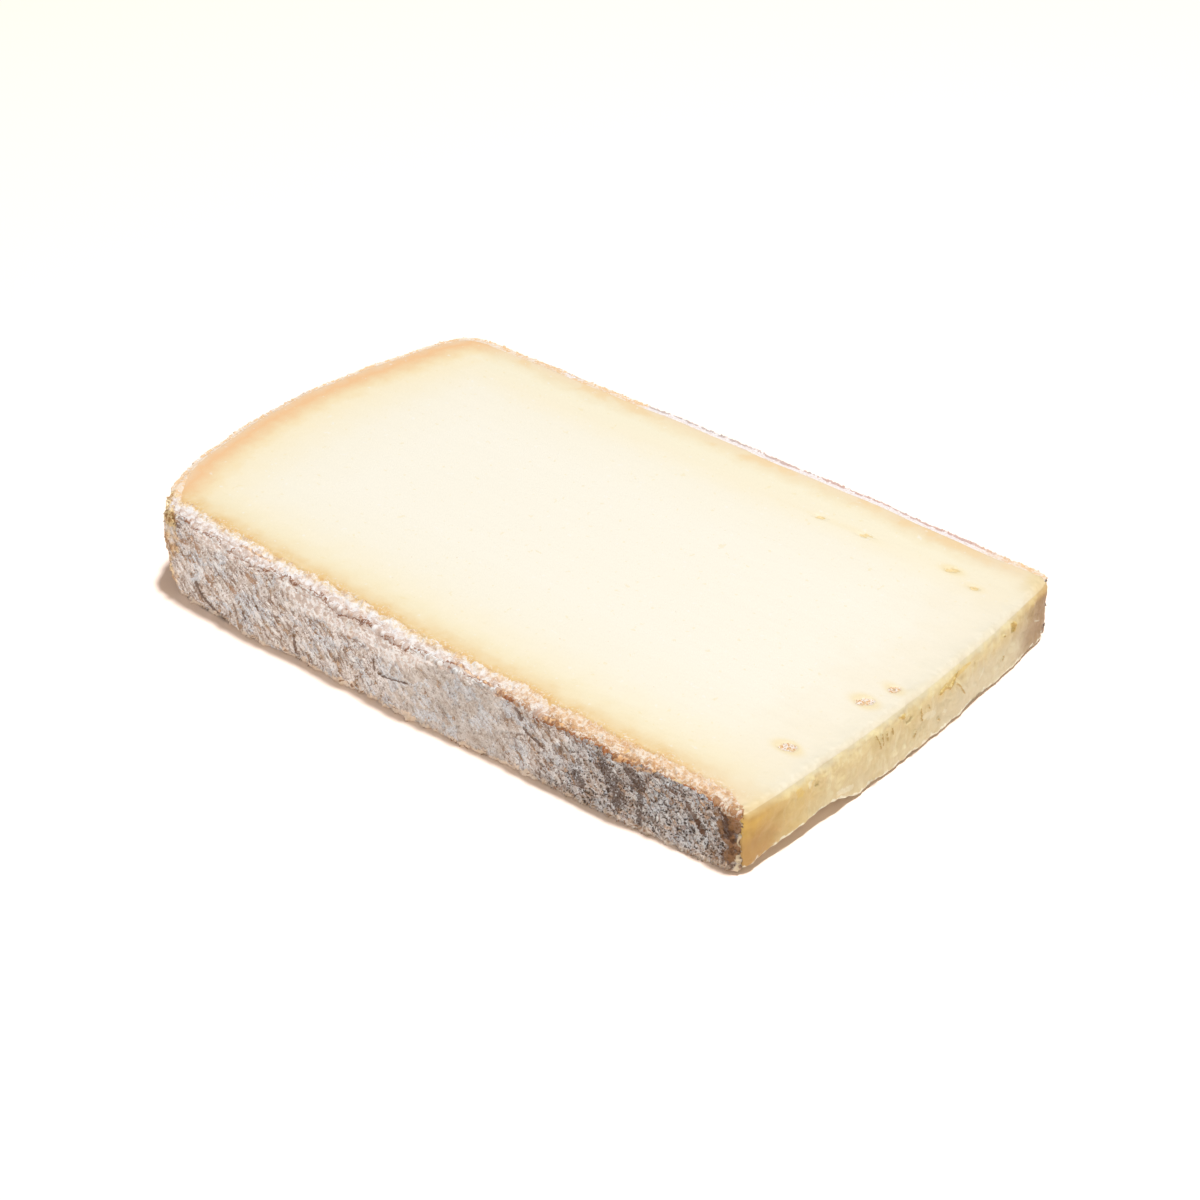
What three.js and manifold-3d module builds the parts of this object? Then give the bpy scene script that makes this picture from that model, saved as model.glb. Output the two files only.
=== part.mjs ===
// A thin wedge of hard pressed cheese, cut from a large wheel and lying on its side.
//
// X runs along the wheel's radius, from the curved rim (-X) to the straight cut end (+X).
// Y runs along the wheel's height, so the two flat rinds of the wheel are at -Y and +Y.
// Z is up: the slab rests on one radial cut, and the other radial cut is its tilted top.
// The origin is on the surface it rests on, in the middle of its length and width.
// All sizes are in millimetres.

import * as THREE from 'three';
import { mergeVertices } from 'three/addons/utils/BufferGeometryUtils.js';
import Module from 'manifold-3d';

// ---- driving dimensions ----

const SLAB_LENGTH = 156.5; // rim to cut end
const WHEEL_HEIGHT = 100.8; // rind to rind, at its widest
const RIM_THICKNESS = 19.8; // the wedge is thickest at the rim
const END_THICKNESS = 12.4; // and thinner towards the middle of the wheel

const FRONT_BOW = 2.6; // how far each flat rind draws in towards the rim
const FRONT_PEAK_X = 15; // and where it stands furthest out
const BACK_BOW = 3.2;
const BACK_PEAK_X = 35;
const FACE_LEAN = 0.7; // the rinds' feet stand this far out of their heads
const RIM_FRONT_CURVE = { bow: 13.2, power: 2.4 }; // how the rim draws in towards each corner
const RIM_BACK_CURVE = { bow: 8.9, power: 2 };
const RIM_LEAN = 3.4; // how far the rim's foot stands back from its head
const RIM_LEAN_POWER = 4; // most of it in the lowest part
const END_BOW = 2.6; // how far the cut end bulges

const FRONT_RIM_CORNER = 3.4; // how far each corner's rounding reaches along its sides
const BACK_RIM_CORNER = 5;
const FRONT_END_CORNER = 2.4;
const BACK_END_CORNER = 4.5;

const FRONT_BEVEL = 3.2; // width of the crumbly slope between the cut face and the rind
const BACK_BEVEL = 2.0;
const RIM_BEVEL = 1.3;
const BEVEL_DROP = 0.6;
const END_ARRIS = 0.35; // the softened top edge of the cut end
const FOOT_INSET = 0.5; // the rounded lower edge of the rind
const FOOT_RISE = 0.6;

const END_LIFT = 0.7; // the cut end's lower edge stands off the surface
const END_UNDERCUT = 4; // and the underside reaches back this far
const CHIP_RISE = 2.3; // a long flake is missing from that edge
const CHIP_STEEP_Y = [-26.4, -17.4]; // where the flake's end climbs steeply
const CHIP_GENTLE_Y = [-25.4, -48.4]; // and where it fades out

const RIPPLE_LONG = { size: 0.22, length: 43 }; // slow and quick waves of a hand-turned rind
const RIPPLE_SHORT = { size: 0.13, length: 17 };

// ---- how finely the outline is drawn ----

const FACE_STEPS = 44; // along each flat rind
const RIM_STEPS = 24;
const END_STEPS = 44;
const RIM_CORNER_STEPS = 6;
const END_CORNER_STEPS = 3;
const WALL_ROWS = 4; // bands up the rind between its two edges

// ---- eyes: the small holes that the cuts run through ----
// Each is an ellipsoid: its centre, its half sizes, and its turn about the up axis.

const TOP_EYES = [
  { x: 70.0, y: -28.6, half: [1.7, 1.2, 1.1], turn: 0.5 },
  { x: 72.2, y: -8.6, half: [1.9, 1.0, 0.9], turn: 1.0 },
  { x: 74.0, y: -2.1, half: [1.3, 0.9, 0.8], turn: 1.2 },
  { x: 66.7, y: 35.7, half: [1.0, 0.8, 0.9], turn: 0.2 },
  { x: 60.0, y: 38.0, half: [1.6, 0.8, 0.6], turn: 0.7 },
  { x: 40.7, y: 37.1, half: [1.4, 0.8, 0.5], turn: 0.6 },
  { x: 30.4, y: 36.6, half: [1.0, 0.7, 0.5], turn: 0.4 },
];
const END_EYES = [
  { y: -3.2, z: 8.7, half: [0.8, 1.1, 0.8] },
  { y: -30.0, z: 10.4, half: [0.9, 0.7, 2.0] },
  { y: 32.8, z: 10.2, half: [0.7, 0.6, 1.7] },
];
const EYE_SEGMENTS = [14, 9]; // round and from pole to pole

// ---- the slab's sides as functions of place ----

const halfLength = SLAB_LENGTH / 2;
const halfHeight = WHEEL_HEIGHT / 2;

const topZ = (x) =>
  THREE.MathUtils.mapLinear(x, -halfLength, halfLength, RIM_THICKNESS, END_THICKNESS);

const wave = (along, phase, { size, length }) =>
  size * Math.sin((2 * Math.PI * along) / length + phase);

const ripple = (along, phase) =>
  wave(along, phase, RIPPLE_LONG) + wave(along, 2.3 * phase, RIPPLE_SHORT);

// How far a flat rind stands from the middle of the wheel, at x.
function faceDistance(x, bow, peakX, phase) {
  const fromPeak = (x - peakX) / (halfLength + peakX);
  return halfHeight - bow * fromPeak ** 2 + ripple(x, phase);
}

function frontAt(x, insets) {
  return new THREE.Vector2(x, insets.front - faceDistance(x, FRONT_BOW, FRONT_PEAK_X, 1.1));
}

function backAt(x, insets) {
  return new THREE.Vector2(x, faceDistance(x, BACK_BOW, BACK_PEAK_X, 2.9) - insets.back);
}

function rimAt(y, insets) {
  const { bow, power } = y < 0 ? RIM_FRONT_CURVE : RIM_BACK_CURVE;
  const drawnIn = bow * Math.abs(y / halfHeight) ** power;
  return new THREE.Vector2(-halfLength + drawnIn + insets.rim + ripple(y, 4.2), y);
}

function endAt(y, insets) {
  const bulge = END_BOW * (y / halfHeight) ** 2;
  return new THREE.Vector2(halfLength - bulge - insets.end, y);
}

// Where a side drawn over x meets a side drawn over y.
function meeting(overX, overY, insets, startX) {
  const point = new THREE.Vector2(startX, 0);
  for (let pass = 0; pass < 6; pass++) {
    point.y = overX(point.x, insets).y;
    point.x = overY(point.y, insets).x;
  }
  return point;
}

// ---- one closed run round the slab, seen from above ----
// It goes anticlockwise, starting on the rim's front corner. Whatever the insets,
// every run has the same number of points, so two runs can be joined point to point.

function outline(insets) {
  const frontRim = meeting(frontAt, rimAt, insets, -halfLength);
  const frontEnd = meeting(frontAt, endAt, insets, halfLength);
  const backEnd = meeting(backAt, endAt, insets, halfLength);
  const backRim = meeting(backAt, rimAt, insets, -halfLength);
  const points = [];

  const corner = (before, tip, after, steps) => {
    const curve = new THREE.QuadraticBezierCurve(before, tip, after);
    points.push(...curve.getPoints(steps).slice(0, -1));
  };
  const side = (pointAt, from, to, steps) => {
    for (let i = 0; i < steps; i++) {
      points.push(pointAt(THREE.MathUtils.lerp(from, to, i / steps), insets));
    }
  };

  const frontFrom = frontRim.x + FRONT_RIM_CORNER;
  const frontTo = frontEnd.x - FRONT_END_CORNER;
  const endFrom = frontEnd.y + FRONT_END_CORNER;
  const endTo = backEnd.y - BACK_END_CORNER;
  const backFrom = backEnd.x - BACK_END_CORNER;
  const backTo = backRim.x + BACK_RIM_CORNER;
  const rimFrom = backRim.y - BACK_RIM_CORNER;
  const rimTo = frontRim.y + FRONT_RIM_CORNER;

  corner(rimAt(rimTo, insets), frontRim, frontAt(frontFrom, insets), RIM_CORNER_STEPS);
  side(frontAt, frontFrom, frontTo, FACE_STEPS);
  corner(frontAt(frontTo, insets), frontEnd, endAt(endFrom, insets), END_CORNER_STEPS);
  side(endAt, endFrom, endTo, END_STEPS);
  corner(endAt(endTo, insets), backEnd, backAt(backFrom, insets), END_CORNER_STEPS);
  side(backAt, backFrom, backTo, FACE_STEPS);
  corner(backAt(backTo, insets), backRim, rimAt(rimFrom, insets), RIM_CORNER_STEPS);
  side(rimAt, rimFrom, rimTo, RIM_STEPS);
  return points;
}

// 1 on the cut end, 0 on the rinds, and in between round the corners at its two ends.
const endShare = (point) => {
  const endX = endAt(point.y, { end: 0 }).x;
  return 1 - THREE.MathUtils.smoothstep(endX - point.x, 0, FRONT_END_CORNER);
};

// Height of the lower edge: rounded under the rind, lifted and chipped along the cut end.
function lowerEdgeZ(point) {
  const [steepLow, steepHigh] = CHIP_STEEP_Y;
  const [gentleHigh, gentleLow] = CHIP_GENTLE_Y;
  const climbing = 1 - THREE.MathUtils.smoothstep(point.y, steepLow, steepHigh);
  const fading = THREE.MathUtils.clamp((point.y - gentleLow) / (gentleHigh - gentleLow), 0, 1);
  const lifted = END_LIFT + CHIP_RISE * climbing * Math.sqrt(fading);
  return THREE.MathUtils.lerp(FOOT_RISE, lifted, endShare(point));
}

function upperEdgeZ(point) {
  const drop = THREE.MathUtils.lerp(BEVEL_DROP, END_ARRIS, endShare(point));
  return topZ(point.x) - drop;
}

// ---- the slab: rings from the underside to the top, joined into one closed skin ----

function ringOf(insets, heightAt) {
  return outline(insets).map((p) => new THREE.Vector3(p.x, p.y, heightAt(p)));
}

function slabRings() {
  const underside = {
    front: FOOT_INSET,
    back: FOOT_INSET,
    rim: RIM_LEAN + FOOT_INSET,
    end: END_UNDERCUT,
  };
  const cutFace = {
    front: FACE_LEAN + FRONT_BEVEL,
    back: FACE_LEAN + BACK_BEVEL,
    rim: RIM_BEVEL,
    end: END_ARRIS,
  };
  const rings = [ringOf(underside, () => 0)];
  for (let row = 0; row <= WALL_ROWS; row++) {
    const share = row / WALL_ROWS;
    const wall = {
      front: FACE_LEAN * share,
      back: FACE_LEAN * share,
      rim: RIM_LEAN * (1 - share) ** RIM_LEAN_POWER,
      end: 0,
    };
    const heightAt = (p) => THREE.MathUtils.lerp(lowerEdgeZ(p), upperEdgeZ(p), share);
    rings.push(ringOf(wall, heightAt));
  }
  rings.push(ringOf(cutFace, (p) => topZ(p.x)));
  return rings;
}

function slabGeometry() {
  const rings = slabRings();
  const count = rings[0].length;
  const index = [];
  for (let r = 0; r < rings.length - 1; r++) {
    for (let i = 0; i < count; i++) {
      const low = r * count + i;
      const lowNext = r * count + ((i + 1) % count);
      index.push(low, lowNext, lowNext + count);
      index.push(low, lowNext + count, low + count);
    }
  }
  const topStart = (rings.length - 1) * count;
  const undersideMiddle = rings.length * count;
  const topMiddle = undersideMiddle + 1;
  for (let i = 0; i < count; i++) {
    const next = (i + 1) % count;
    index.push(undersideMiddle, next, i);
    index.push(topMiddle, topStart + i, topStart + next);
  }
  const middles = [new THREE.Vector3(0, 0, 0), new THREE.Vector3(0, 0, topZ(0))];
  const geometry = new THREE.BufferGeometry().setFromPoints([...rings.flat(), ...middles]);
  geometry.setIndex(index);
  return geometry;
}

// ---- cutting the eyes ----

const wasm = await Module();
wasm.setup();

function toSolid(geometry) {
  const bare = geometry.clone();
  bare.deleteAttribute('normal');
  bare.deleteAttribute('uv');
  const merged = mergeVertices(bare, 1e-4);
  return new wasm.Manifold(
    new wasm.Mesh({
      numProp: 3,
      vertProperties: new Float32Array(merged.attributes.position.array),
      triVerts: new Uint32Array(merged.index.array),
    }),
  );
}

function toGeometry(solid) {
  const mesh = solid.getMesh();
  const geometry = new THREE.BufferGeometry();
  geometry.setAttribute('position', new THREE.BufferAttribute(mesh.vertProperties, 3));
  geometry.setIndex(new THREE.BufferAttribute(mesh.triVerts, 1));
  return geometry;
}

function eyeGeometry(centre, half, turn = 0) {
  const eye = new THREE.SphereGeometry(1, ...EYE_SEGMENTS);
  eye.scale(...half);
  eye.rotateZ(turn);
  eye.translate(...centre);
  return eye;
}

function allEyes() {
  const onTop = TOP_EYES.map(({ x, y, half, turn }) =>
    eyeGeometry([x, y, topZ(x) - 0.25 * half[2]], half, turn),
  );
  const onEnd = END_EYES.map(({ y, z, half }) =>
    eyeGeometry([endAt(y, { end: 0.25 * half[0] }).x, y, z], half),
  );
  return [...onTop, ...onEnd];
}

function wedgeGeometry() {
  let solid = toSolid(slabGeometry());
  for (const eye of allEyes()) {
    solid = solid.subtract(toSolid(eye));
  }
  const geometry = toGeometry(solid);
  geometry.computeBoundingBox();
  const { min, max } = geometry.boundingBox;
  geometry.translate(-(min.x + max.x) / 2, -(min.y + max.y) / 2, -min.z);
  geometry.computeVertexNormals();
  return geometry;
}

// ---- the scene graph ----

const cheeseMaterial = new THREE.MeshStandardMaterial({
  color: 0xf0dfb4,
  roughness: 0.55,
  metalness: 0,
  flatShading: true,
});

const wedge = new THREE.Mesh(wedgeGeometry(), cheeseMaterial);
wedge.name = 'cheese_wedge';

const model = new THREE.Group();
model.add(wedge);

export default model;
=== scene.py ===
# %% [markdown]
# # A wedge of hard mountain cheese
# The slice was cut from a big pressed wheel and laid on its side. Two long cuts through
# the paste make its top and its underside. The wheel's grey, mouldy rind runs along both
# sides and round the rim, and a last straight cut closes the narrow end.
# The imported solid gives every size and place. It is loaded first and never changed.
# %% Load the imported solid
import math

import bpy
import numpy as np
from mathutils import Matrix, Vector
from mathutils.bvhtree import BVHTree


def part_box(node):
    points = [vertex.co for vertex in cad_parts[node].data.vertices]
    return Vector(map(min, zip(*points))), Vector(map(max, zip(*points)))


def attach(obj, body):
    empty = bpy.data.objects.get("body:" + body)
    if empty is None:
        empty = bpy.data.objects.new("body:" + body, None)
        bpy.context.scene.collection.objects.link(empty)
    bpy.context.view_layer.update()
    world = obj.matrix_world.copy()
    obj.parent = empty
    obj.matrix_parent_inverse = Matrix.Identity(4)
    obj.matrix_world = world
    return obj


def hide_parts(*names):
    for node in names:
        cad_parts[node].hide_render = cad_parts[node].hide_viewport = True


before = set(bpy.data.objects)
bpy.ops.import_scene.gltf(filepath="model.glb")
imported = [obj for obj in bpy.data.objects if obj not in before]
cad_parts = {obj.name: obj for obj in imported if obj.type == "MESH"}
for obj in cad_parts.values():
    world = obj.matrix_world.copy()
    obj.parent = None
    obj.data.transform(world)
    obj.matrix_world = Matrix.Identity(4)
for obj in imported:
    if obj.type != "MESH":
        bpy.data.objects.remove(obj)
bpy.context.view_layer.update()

NODE = "cheese_wedge"
MM = 0.001  # the lesson measures in millimetres, and Blender in metres
low_corner, high_corner = (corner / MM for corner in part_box(NODE))
print("the solid spans", [round(size, 1) for size in high_corner - low_corner], "mm")

# %% [markdown]
# ## The camera, the floor and the light
# These come first, so that every later step can be looked at. The camera stands at one
# corner and looks down at the slice, as one looks at food on a table. The floor is
# nearly white. A small strong lamp hangs almost straight above, so the top is bright and
# the shadow narrow. Both visible sides would be too dark under it alone. A broad weak
# lamp lifts the front rind, and a broad golden one the cut end, as if its light had gone
# through the cheese. The dim, slightly warm sky fills what is left.
# %% Place the camera
CAMERA_PLACE = Vector((273.8, -325.6, 265.0))
CAMERA_TILT = 58.17  # degrees, where 90 would look level
CAMERA_TURN = 39.57  # degrees round the up axis
CAMERA_LENS = 76.7

camera_data = bpy.data.cameras.new("camera")
camera_data.lens = CAMERA_LENS
camera_data.sensor_width = 36.0
camera_data.clip_start = 0.01
camera = bpy.data.objects.new("camera", camera_data)
camera.location = CAMERA_PLACE * MM
camera.rotation_euler = (math.radians(CAMERA_TILT), 0.0, math.radians(CAMERA_TURN))
bpy.context.scene.collection.objects.link(camera)
bpy.context.scene.camera = camera
print("camera", round(CAMERA_PLACE.length), "mm from the slice")

# %% Lay the floor
FLOOR_SPAN = 4.0  # metres: wide enough to fill every view

bpy.ops.object.select_all(action="DESELECT")
bpy.ops.mesh.primitive_plane_add(size=FLOOR_SPAN, location=(0, 0, 0))
floor = bpy.context.object
floor.name = "floor"

# %% Light the scene
SKY_COLOUR = (1.0, 0.9, 0.8, 1.0)
SKY_STRENGTH = 0.3
LAMPS = {  # where from, how far off and how wide (m), how strong (W), and the colour
    "main_lamp": ((0.10, 0.09, 1.0), 1.5, 0.16, 27.0, (1.0, 1.0, 1.0)),
    "fill_lamp": ((-0.3, -1.0, 0.12), 1.2, 0.8, 6.0, (1.0, 1.0, 1.0)),
    "warm_lamp": ((1.0, -0.35, 0.45), 1.2, 0.8, 3.4, (1.0, 0.8, 0.48)),
}

world = bpy.data.worlds.new("studio")
world.use_nodes = True
sky = world.node_tree.nodes["Background"].inputs
sky["Color"].default_value = SKY_COLOUR
sky["Strength"].default_value = SKY_STRENGTH
bpy.context.scene.world = world

for name, (where_from, distance, span, power, colour) in LAMPS.items():
    direction = Vector(where_from)
    lamp_data = bpy.data.lights.new(name, "AREA")
    lamp_data.shape = "DISK"
    lamp_data.size = span
    lamp_data.energy = power
    lamp_data.color = colour
    lamp = bpy.data.objects.new(name, lamp_data)
    lamp.location = direction.normalized() * distance
    lamp.rotation_euler = direction.to_track_quat("Z", "Y").to_euler()
    bpy.context.scene.collection.objects.link(lamp)
bpy.context.scene.view_settings.view_transform = "Standard"
print("lamps", *LAMPS)

# %% [markdown]
# ## Measuring the solid
# The solid already has the slice's true shape, but its faces are millimetres wide, and
# the rind needs far finer ones. A shrinkwrap could press a fine mesh on it, and would
# drag its rows out of line at the corners. So rays are cast at the solid instead. A walk
# goes round the rind, from the cut end's front corner over the rim to the back corner,
# and at each station the rays find how far the wall stands at several heights.
# %% Cast rays at the solid
node_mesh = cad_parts[NODE].data
solid = BVHTree.FromPolygons(
    [vertex.co / MM for vertex in node_mesh.vertices],
    [tuple(face.vertices) for face in node_mesh.polygons],
)
UP = np.array((0.0, 0.0, 1.0))


def ray(start, direction):
    """The place (mm) where a ray first lands on the solid."""
    landed = solid.ray_cast(Vector(start), Vector(direction))[0]
    if landed is None:
        raise ValueError(f"the ray from {start} along {direction} misses the solid")
    return np.array(landed)


def height_of_top(x, y):
    """Height of the solid's upper side, its small holes included."""
    return ray((x, y, 2 * high_corner.z), -UP)[2]


PROBE_X, PROBE_Y = 50.0, 5.0
top_slope = (height_of_top(PROBE_X, PROBE_Y) - height_of_top(-PROBE_X, PROBE_Y)) / (2 * PROBE_X)
top_middle = height_of_top(PROBE_X, PROBE_Y) - top_slope * PROBE_X


def top_plane(x):
    """Height of the upper cut, without its small holes."""
    return top_middle + top_slope * x


print("the upper cut falls", round(-100 * top_slope, 1), "mm in 100 mm")

# %% Walk round the rind
WALK_FROM, WALK_TO = -32.7, -327.6  # degrees round the up axis, at the cut end's two corners
WALK_HEIGHT = 7.0
WALK_STEP = 0.5
CHECKED_TURNS = 3000
AVERAGED = 5  # a station's heading is averaged over so many stations


def smooth(values, low, high):
    """0 at low, 1 at high, and a soft step in between."""
    share = np.clip((values - low) / (high - low), 0.0, 1.0)
    return share * share * (3.0 - 2.0 * share)


turns = np.radians(np.linspace(WALK_FROM, WALK_TO, CHECKED_TURNS))
seen = np.array([ray((0, 0, WALK_HEIGHT), (math.cos(t), math.sin(t), 0))[:2] for t in turns])
gone = np.concatenate(([0.0], np.cumsum(np.hypot(*np.diff(seen, axis=0).T))))
walk = np.arange(0.0, gone[-1], WALK_STEP)
base = np.stack([np.interp(walk, gone, seen[:, 0]), np.interp(walk, gone, seen[:, 1])], axis=1)
heading = np.gradient(base, axis=0)
window = np.ones(AVERAGED) / AVERAGED
padded = np.pad(heading, ((AVERAGED // 2, AVERAGED // 2), (0, 0)), "edge")
heading = np.stack([np.convolve(column, window, "valid") for column in padded.T], axis=1)
heading /= np.linalg.norm(heading, axis=1, keepdims=True)
outward = np.stack([-heading[:, 1], heading[:, 0]], axis=1)
print("the rind is", round(gone[-1]), "mm long")

# %% Measure the wall and the crumbly slope above it
EDGE_DROP = 0.62  # the wall ends this far below the upper cut
FOOT = 0.03
LIFTED_FROM_X = 68.0  # the foot leaves the table here, under the cut end
LIFT_INSET = 0.3
REACH = 9.0  # rays start this far inside
WALL_SHARES = np.linspace(0.0, 1.0, 9)  # the heights that are measured, from foot to edge
SLOPE_SHARES = np.linspace(0.04, 1.0, 7)  # and the places across the slope
SLOPE_WIDTH = {"front": 4.7, "rim": 1.5, "back": 2.3}  # of the strip where the knife broke the rind
END_SLOPE_WIDTH = 1.6  # and at the cut end's corners

at_rim = smooth(-base[:, 0], 57.0, 67.0)
at_back = smooth(base[:, 1], -15.0, 15.0)
flat_width = SLOPE_WIDTH["front"] + (SLOPE_WIDTH["back"] - SLOPE_WIDTH["front"]) * at_back
off_corners = smooth(-abs(base[:, 1]), -50.0, -34.0)
slope_width = flat_width + (SLOPE_WIDTH["rim"] - flat_width) * at_rim * off_corners
near_end = 1.0 - smooth(np.minimum(walk, walk[-1] - walk), 1.0, 7.0)
slope_width = slope_width + (END_SLOPE_WIDTH - slope_width) * near_end

edge_height = top_plane(base[:, 0]) - EDGE_DROP
foot_height = np.full(len(walk), FOOT)
wall_offset = np.zeros((len(walk), len(WALL_SHARES)))
slope_height = np.zeros((len(walk), len(SLOPE_SHARES)))
for k, (point, out) in enumerate(zip(base, outward)):
    if point[0] > LIFTED_FROM_X:
        foot_height[k] = ray((*(point - LIFT_INSET * out), -1.0), UP)[2] + FOOT
    inside = point - REACH * out
    for n, share in enumerate(WALL_SHARES):
        height = foot_height[k] + (edge_height[k] - foot_height[k]) * share
        landed = ray((*inside, height), (*out, 0.0))[:2]
        wall_offset[k, n] = (landed - point) @ out
    edge = point + wall_offset[k, -1] * out
    for n, share in enumerate(SLOPE_SHARES):
        slope_height[k, n] = height_of_top(*(edge - share * slope_width[k] * out))
print("wall offsets", wall_offset.min().round(1), "to", wall_offset.max().round(1), "mm")

# %% [markdown]
# ## A fine skin from a flat grid
# Rind and paste are both made the way one wraps a parcel. A flat grid primitive has
# columns that run along the piece and rows that run round it. Each vertex is laid on its
# measured place, the last row meets the first, and the doubles there are merged. The two
# open ends are closed with a face each. What the later steps need to know about a
# vertex, such as where it lay before it got its relief, is kept in named attributes.
# %% Wrap a grid into a closed skin
def keep(piece, name, values):
    """Store one number or one vector for each vertex, under a name."""
    kind, slot = ("FLOAT", "value") if values.ndim == 1 else ("FLOAT_VECTOR", "vector")
    attribute = piece.data.attributes.new(name, kind, "POINT")
    attribute.data.foreach_set(slot, values.astype(np.float32).ravel())


def by_vertex(table):
    """The table's values in the order of a grid primitive's vertices, row by row."""
    return np.swapaxes(table, 0, 1).reshape(-1, *table.shape[2:])


def facing(places):
    """Outward directions over a table of places whose rows go round and close."""
    along = np.gradient(places, axis=0)
    ring = np.concatenate([places[:, -2:-1], places, places[:, 1:2]], axis=1)
    around = ring[:, 2:] - ring[:, :-2]
    normal = np.cross(along, around)
    return normal / np.maximum(np.linalg.norm(normal, axis=2, keepdims=True), 1e-9)


def wrap(name, places, kept):
    """A closed skin on a table of places (mm): columns along it, rows round it."""
    columns, rows = places.shape[:2]
    bpy.ops.object.select_all(action="DESELECT")
    bpy.ops.mesh.primitive_grid_add(x_subdivisions=columns - 1, y_subdivisions=rows - 1, size=1)
    piece = bpy.context.object
    piece.name = piece.data.name = name
    piece.data.vertices.foreach_set("co", (by_vertex(places) * MM).astype(np.float32).ravel())
    keep(piece, "place", by_vertex(places))
    for attribute, table in kept.items():
        keep(piece, attribute, by_vertex(table))
    bpy.ops.object.mode_set(mode="EDIT")
    bpy.ops.mesh.select_all(action="SELECT")
    bpy.ops.mesh.remove_doubles(threshold=1e-6)
    bpy.ops.mesh.select_all(action="SELECT")
    bpy.ops.mesh.fill_holes(sides=0)
    bpy.ops.mesh.select_all(action="SELECT")
    bpy.ops.mesh.normals_make_consistent(inside=False)
    bpy.ops.object.mode_set(mode="OBJECT")
    while piece.data.uv_layers:
        piece.data.uv_layers.remove(piece.data.uv_layers[0])
    triangles = sum(len(face.vertices) - 2 for face in piece.data.polygons)
    print(name, "has", len(piece.data.vertices), "vertices and", triangles, "triangles")
    return piece


# %% [markdown]
# ## The rind's shape
# The rind is a crust about two and a half millimetres thick. Its outer skin has a foot,
# an upright wall and the crumbly slope where the knife broke it; behind, it only has to
# reach into the paste. It could be one long piece, and would then be too fine a mesh to
# handle. So it is wrapped in three, front, rim and back, that share one walk, and their
# seams meet. The skin's own coordinates are kept as "belt": how far along it a vertex
# lies, how high up, and which share of the slope it has climbed.
# %% Lay out the rind's cross-section
WALL_ROWS = 64
SLOPE_ROWS = 24
SLOPE_SINK = 0.07  # the slope's inner edge dips below the paste, in parts of its width
SINK_FROM = 0.75  # and starts to dip at this share of it
RIND_DEPTH = 2.4
HIDDEN_ROWS = 3  # inside the paste: two behind the slope's inner edge, one above the foot
HIDDEN_INSET = 0.2
HIDDEN_DROPS = (0.4, 1.4)
HIDDEN_RISE = 0.6
END_SINK, END_SINK_REACH = 0.45, 0.8  # its two ends dip below the cut end's face


def along_walk(distances, table):
    """Measured values at other distances along the walk."""
    return np.stack([np.interp(distances, walk, column) for column in table.T], axis=1)


def spread(table, shares_from, shares_to):
    """Each measured row of a table, read at finer shares."""
    return np.stack([np.interp(shares_to, shares_from, row) for row in table])


def rind_tables(distances):
    """Places, belt coordinates, depths below the edge and cover (0 where it is hidden)."""
    point, out = along_walk(distances, base), along_walk(distances, outward)
    out /= np.linalg.norm(out, axis=1, keepdims=True)
    measured = (foot_height, edge_height, slope_width)
    foot, edge, width = (np.interp(distances, walk, values)[:, None] for values in measured)
    wall_shares = np.linspace(0.0, 1.0, WALL_ROWS)
    slope_shares = np.linspace(0.0, 1.0, SLOPE_ROWS + 1)[1:]

    wall_off = spread(along_walk(distances, wall_offset), WALL_SHARES, wall_shares)
    wall_z = foot + (edge - foot) * wall_shares
    slope_off = wall_off[:, -1:] - width * slope_shares
    slope_z = spread(along_walk(distances, slope_height), SLOPE_SHARES, slope_shares)
    slope_z = slope_z - SLOPE_SINK * width * smooth(slope_shares, SINK_FROM, 1.0)

    inner_off = slope_off[:, -1:] - HIDDEN_INSET
    back_off = wall_off[:, :1] - RIND_DEPTH
    hidden_off = np.concatenate([inner_off, inner_off, back_off], axis=1)
    hidden_z = np.concatenate([*(edge - drop for drop in HIDDEN_DROPS), foot + HIDDEN_RISE], axis=1)

    to_end = np.minimum(distances, walk[-1] - distances)[:, None]
    sunk = END_SINK * (1.0 - smooth(to_end, 0.0, END_SINK_REACH))
    offset = np.concatenate([wall_off, slope_off, hidden_off, wall_off[:, :1]], axis=1) - sunk
    height = np.concatenate([wall_z, slope_z - 0.5 * sunk, hidden_z, wall_z[:, :1]], axis=1)
    across = point[:, None] + offset[..., None] * out[:, None]
    places = np.concatenate([across, height[..., None]], axis=2)

    on_slope = 0 * slope_off + slope_shares
    climbed = np.concatenate([0 * wall_off, on_slope, 0 * hidden_off + 1, 0 * edge], axis=1)
    up = height + 0.0
    up[:, WALL_ROWS : WALL_ROWS + SLOPE_ROWS] = edge + width * slope_shares
    start_x = base[0, 0]
    belt = np.stack([start_x - distances[:, None] + 0 * up, up, climbed], axis=2)
    cover = np.ones_like(up)
    cover[:, -1 - HIDDEN_ROWS : -1] = 0.0
    return places, belt, edge - up, cover


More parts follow.
